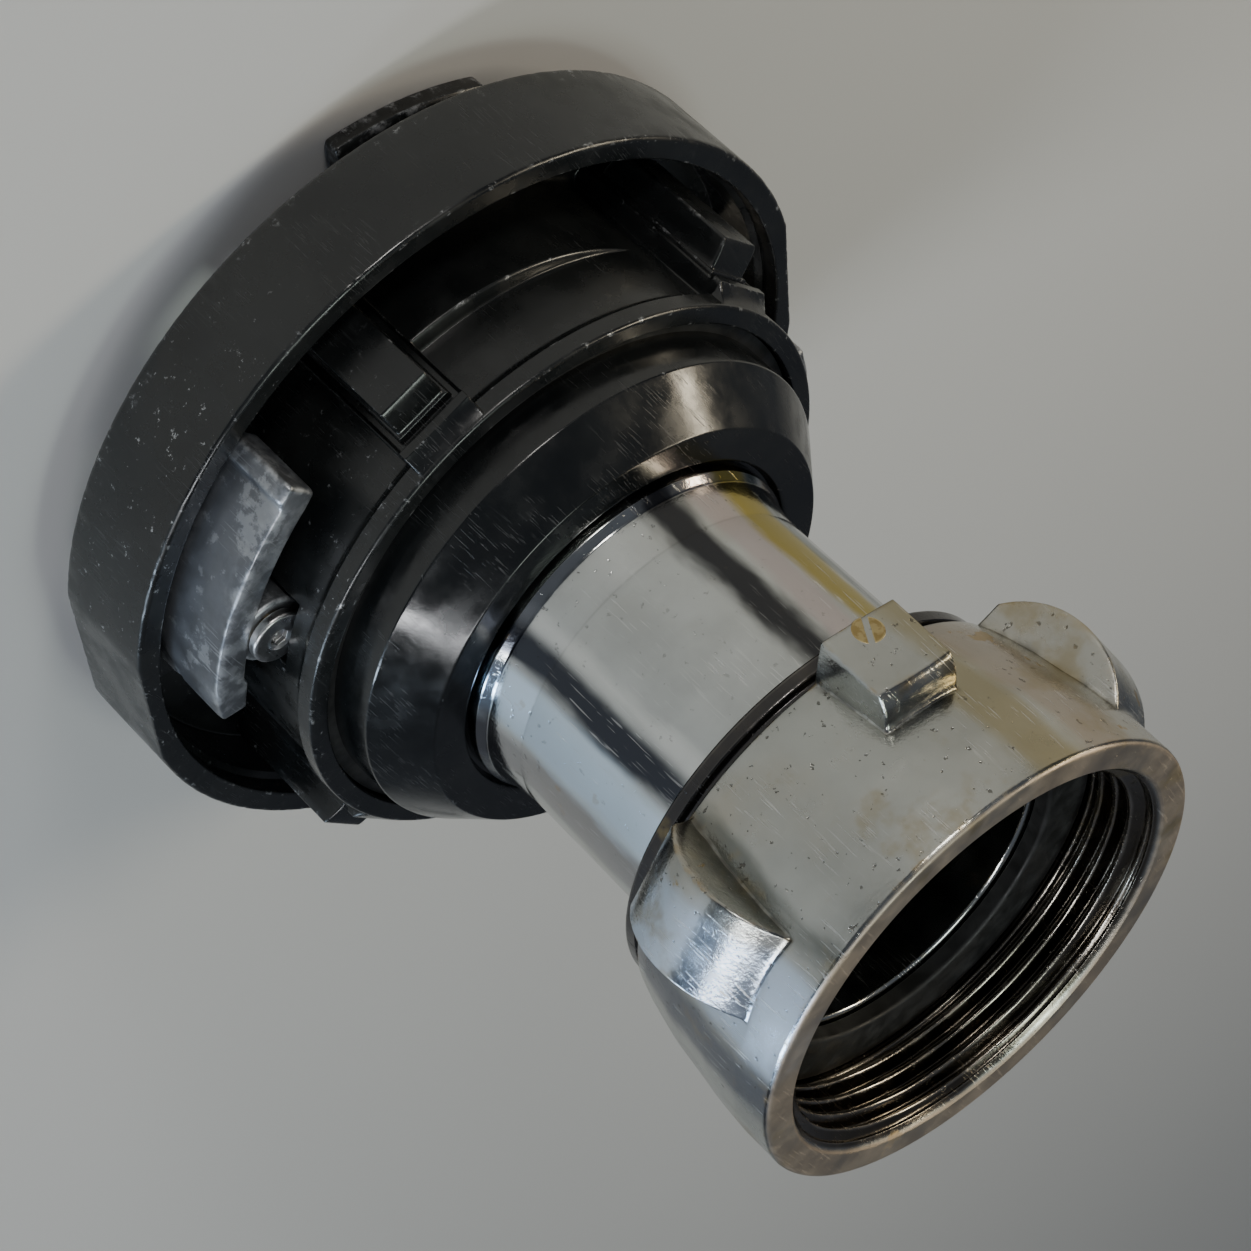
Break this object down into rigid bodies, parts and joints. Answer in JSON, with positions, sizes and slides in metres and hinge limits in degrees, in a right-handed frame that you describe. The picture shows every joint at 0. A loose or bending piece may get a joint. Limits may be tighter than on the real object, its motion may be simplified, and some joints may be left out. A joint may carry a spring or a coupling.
{
  "type": "fire hose adapter",
  "caption": "Short metal fire hose adapter: a slotted quick-connect collar with hooked claws and sprung locking levers at one end, a threaded rocker-lug swivel at the other.",
  "frame": {"origin": "centre of the Storz face, on the waterway axis", "axes": "+Z along the waterway from the Storz face to the swivel's mouth"},
  "size_m": [0.146, 0.146, 0.1603],
  "materials": {
    "black_anodised": "black hard anodised, worn",
    "black_sleeve": "black hard anodised",
    "black_reducer": "black hard anodised, turned",
    "seal_rubber": "moulded rubber",
    "acetal": "turned acetal",
    "steel_screw": "stainless",
    "neck_chrome": "chrome plated brass, scratched",
    "nut_chrome": "rough chrome plated brass, brass showing at worn edges",
    "ball_steel": "polished",
    "plug_brass": "worn",
    "bush_brass": "turned",
    "lever_metal": "bare, worn grey",
    "spring_steel": "spring wire"
  },
  "bodies": {
    "body": {"storz_sleeve": "black_sleeve", "storz_gasket": "seal_rubber", "thrust_washer": "acetal", "bearing_ring": "acetal", "dust_seal": "seal_rubber", "sleeve_oring": "seal_rubber", "reducer_body": "black_reducer", "neck_oring": "seal_rubber", "neck_lock_screw": "steel_screw", "neck_tube": "neck_chrome"},
    "collar": {"storz_collar": "black_anodised", "pivot_screw_a": "steel_screw", "pivot_screw_b": "steel_screw", "lever_washer_a": "steel_screw", "lever_washer_b": "steel_screw", "lever_spring_a": "spring_steel", "lever_spring_b": "spring_steel"},
    "swivel": {"swivel_nut": "nut_chrome", "race_balls": "ball_steel", "ball_plug": "plug_brass", "swivel_gasket": "seal_rubber", "grease_seal": "seal_rubber"},
    "lever_a": {"lock_lever_a": "lever_metal", "lever_bush_a": "bush_brass"},
    "lever_b": {"lock_lever_b": "lever_metal", "lever_bush_b": "bush_brass"}
  },
  "joints": [
    {"name": "collar_turn", "type": "hinge", "parent": "body", "child": "collar", "pos_m": [0, 0, 0.02], "axis": [0, 0, 1], "continuous": true},
    {"name": "swivel_turn", "type": "hinge", "parent": "body", "child": "swivel", "pos_m": [0, 0, 0.115], "axis": [0, 0, 1], "continuous": true},
    {"name": "lever_a_press", "type": "hinge", "parent": "collar", "child": "lever_a", "pos_m": [0.04081, -0.03806, 0.03], "axis": [0, 0, -1], "range_deg": [0, 6], "stiffness_Nm_per_rad": 0.12, "springref_deg": -34.38, "deforming": ["lever_spring_a"]},
    {"name": "lever_b_press", "type": "hinge", "parent": "collar", "child": "lever_b", "pos_m": [-0.04081, 0.03806, 0.03], "axis": [0, 0, -1], "range_deg": [0, 6], "stiffness_Nm_per_rad": 0.12, "springref_deg": -34.38, "deforming": ["lever_spring_b"]}
  ]
}
